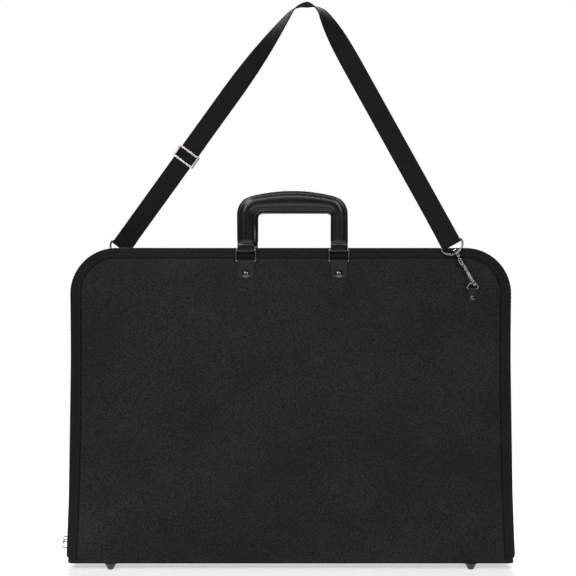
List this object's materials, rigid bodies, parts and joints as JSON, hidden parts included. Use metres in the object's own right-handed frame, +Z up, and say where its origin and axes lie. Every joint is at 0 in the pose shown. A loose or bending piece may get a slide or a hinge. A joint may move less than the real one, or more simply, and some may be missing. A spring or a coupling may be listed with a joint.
{
  "type": "portfolio case",
  "caption": "Flat zip-round artwork portfolio standing on its spine, with grip handles on both covers, feet and a clip-on shoulder strap with an adjuster.",
  "frame": {"origin": "on the standing surface, under the middle of the spine", "axes": "+Z up towards the handles, -Y towards the front cover, +X to the right seen from the front"},
  "size_m": [0.6667, 0.0932, 0.8341],
  "materials": {
    "leatherette": "fine pebble-grained black leatherette, low sheen",
    "binding": "black leatherette binding, stitched along its edge",
    "board": "dense grey board",
    "lining": "thin black woven lining",
    "zip_tape": "black woven zip tape",
    "zip_chain": "black nylon coil",
    "tab_leather": "black leatherette tab",
    "webbing": "black flat-woven webbing",
    "grip_plastic": "black moulded plastic, satin gloss",
    "foot_plastic": "nickel-plated stud",
    "metal": "dark nickel-plated steel"
  },
  "bodies": {
    "spine": {"spine_skin": "leatherette", "spine_board": "board", "spine_lining": "lining", "feet": "foot_plastic", "foot_rivets": "metal"},
    "front_cover": {"front_cover_skin": "leatherette", "front_cover_board": "board", "front_cover_lining": "lining", "front_cover_binding": "binding", "front_gusset_wall": "leatherette", "front_zip_tape": "zip_tape", "front_zip_chain": "zip_chain", "front_zip_stops": "metal", "front_handle_tabs": "tab_leather", "front_handle_rivets": "metal", "front_strap_tab": "tab_leather", "front_strap_rivet": "metal"},
    "front_loops": {"front_handle_loops": "metal"},
    "front_handle": {"front_handle_grip": "grip_plastic"},
    "front_small_ring": {"front_small_ring": "metal"},
    "front_hook": {"front_hook_eye": "metal"},
    "front_snap": {"front_hook_body": "metal"},
    "front_gate": {"front_hook_gate": "metal"},
    "rear_cover": {"rear_cover_skin": "leatherette", "rear_cover_board": "board", "rear_cover_lining": "lining", "rear_cover_binding": "binding", "rear_gusset_wall": "leatherette", "rear_zip_tape": "zip_tape", "rear_zip_chain": "zip_chain", "rear_zip_stops": "metal", "rear_handle_tabs": "tab_leather", "rear_handle_rivets": "metal", "rear_strap_tab": "tab_leather", "rear_strap_rivet": "metal"},
    "rear_loops": {"rear_handle_loops": "metal"},
    "rear_handle": {"rear_handle_grip": "grip_plastic"},
    "rear_small_ring": {"rear_small_ring": "metal"},
    "rear_hook": {"rear_hook_eye": "metal"},
    "rear_snap": {"rear_hook_body": "metal"},
    "rear_gate": {"rear_hook_gate": "metal"},
    "strap": {"strap_webbing": "webbing", "strap_front_fold": "webbing", "strap_rear_fold": "webbing", "strap_front_ring": "metal", "strap_rear_ring": "metal"},
    "adjuster": {"strap_adjuster": "metal"},
    "zip_slider": {"zip_slider": "metal"},
    "zip_pull": {"zip_pull": "metal"}
  },
  "joints": [
    {"name": "front_cover_open", "type": "hinge", "parent": "spine", "child": "front_cover", "pos_m": [0, -0.022, 0.0158], "axis": [1, 0, 0], "range_deg": [0, 90]},
    {"name": "front_loops_fold", "type": "hinge", "parent": "front_cover", "child": "front_loops", "pos_m": [0.0024, -0.0254, 0.4525], "axis": [1, 0, 0], "range_deg": [0, 75]},
    {"name": "front_grip_fold", "type": "hinge", "parent": "front_loops", "child": "front_handle", "pos_m": [0.0024, -0.02778, 0.46943], "axis": [1, 0, 0], "range_deg": [-14, 75]},
    {"name": "front_small_ring_swing", "type": "hinge", "parent": "front_cover", "child": "front_small_ring", "pos_m": [0.2655, -0.0251, 0.4125], "axis": [1, 0, 0], "range_deg": [-6, 4]},
    {"name": "rear_cover_open", "type": "hinge", "parent": "spine", "child": "rear_cover", "pos_m": [0, 0.022, 0.0158], "axis": [-1, 0, 0], "range_deg": [0, 90]},
    {"name": "rear_loops_fold", "type": "hinge", "parent": "rear_cover", "child": "rear_loops", "pos_m": [0.0064, 0.0254, 0.4525], "axis": [-1, 0, 0], "range_deg": [0, 75]},
    {"name": "rear_grip_fold", "type": "hinge", "parent": "rear_loops", "child": "rear_handle", "pos_m": [0.0064, 0.02778, 0.46943], "axis": [-1, 0, 0], "range_deg": [-14, 75]},
    {"name": "rear_small_ring_swing", "type": "hinge", "parent": "rear_cover", "child": "rear_small_ring", "pos_m": [-0.2655, 0.0251, 0.4055], "axis": [-1, 0, 0], "range_deg": [-6, 4]},
    {"name": "strap_swing", "type": "hinge", "parent": "rear_cover", "child": "strap", "pos_m": [-0.26523, 0.03003, 0.46347], "axis": [0.993, -0.1179, 0.0016], "range_deg": [-15, 12]},
    {"name": "front_hook_pivot", "type": "hinge", "parent": "strap", "child": "front_hook", "pos_m": [0.2408, -0.03003, 0.46431], "axis": [0.993, -0.1179, 0.0016], "range_deg": [-12, 15]},
    {"name": "front_snap_turn", "type": "hinge", "parent": "front_hook", "child": "front_snap", "pos_m": [0.2413, -0.03002, 0.46344], "axis": [0.4968, 0.0066, -0.8679], "range_deg": [-8, 8]},
    {"name": "front_gate_press", "type": "hinge", "parent": "front_snap", "child": "front_gate", "pos_m": [0.25199, -0.03388, 0.44476], "axis": [0.8679, 0, 0.4968], "range_deg": [0, 20], "stiffness_Nm_per_rad": 0.02, "springref_deg": -14.32},
    {"name": "rear_hook_pivot", "type": "hinge", "parent": "strap", "child": "rear_hook", "pos_m": [-0.26523, 0.03003, 0.46347], "axis": [0.993, -0.1179, 0.0016], "range_deg": [-12, 15]},
    {"name": "rear_snap_turn", "type": "hinge", "parent": "rear_hook", "child": "rear_snap", "pos_m": [-0.26524, 0.03002, 0.46247], "axis": [-0.0054, -0.0067, -1], "range_deg": [-8, 8]},
    {"name": "rear_gate_press", "type": "hinge", "parent": "rear_snap", "child": "rear_gate", "pos_m": [-0.26536, 0.03388, 0.44094], "axis": [-1, 0, 0.0054], "range_deg": [0, 20], "stiffness_Nm_per_rad": 0.02, "springref_deg": -14.32},
    {"name": "adjuster_slide", "type": "slide", "parent": "strap", "child": "adjuster", "axis": [0.592, -0.0661, 0.8032], "range_m": [-0.03, 0.03]},
    {"name": "zip_slide", "type": "slide", "parent": "rear_cover", "child": "zip_slider", "axis": [0.0154, 0, 0.9999], "range_m": [0, 0.36]},
    {"name": "zip_pull_swing", "type": "hinge", "parent": "zip_slider", "child": "zip_pull", "pos_m": [-0.33382, 0, 0.0406], "axis": [0.5, 0.866, 0], "range_deg": [0, 110]}
  ],
  "couplings": [
    {"joint": "front_hook_pivot", "follows": "strap_swing", "ratio": -1},
    {"joint": "rear_hook_pivot", "follows": "strap_swing", "ratio": -1}
  ]
}
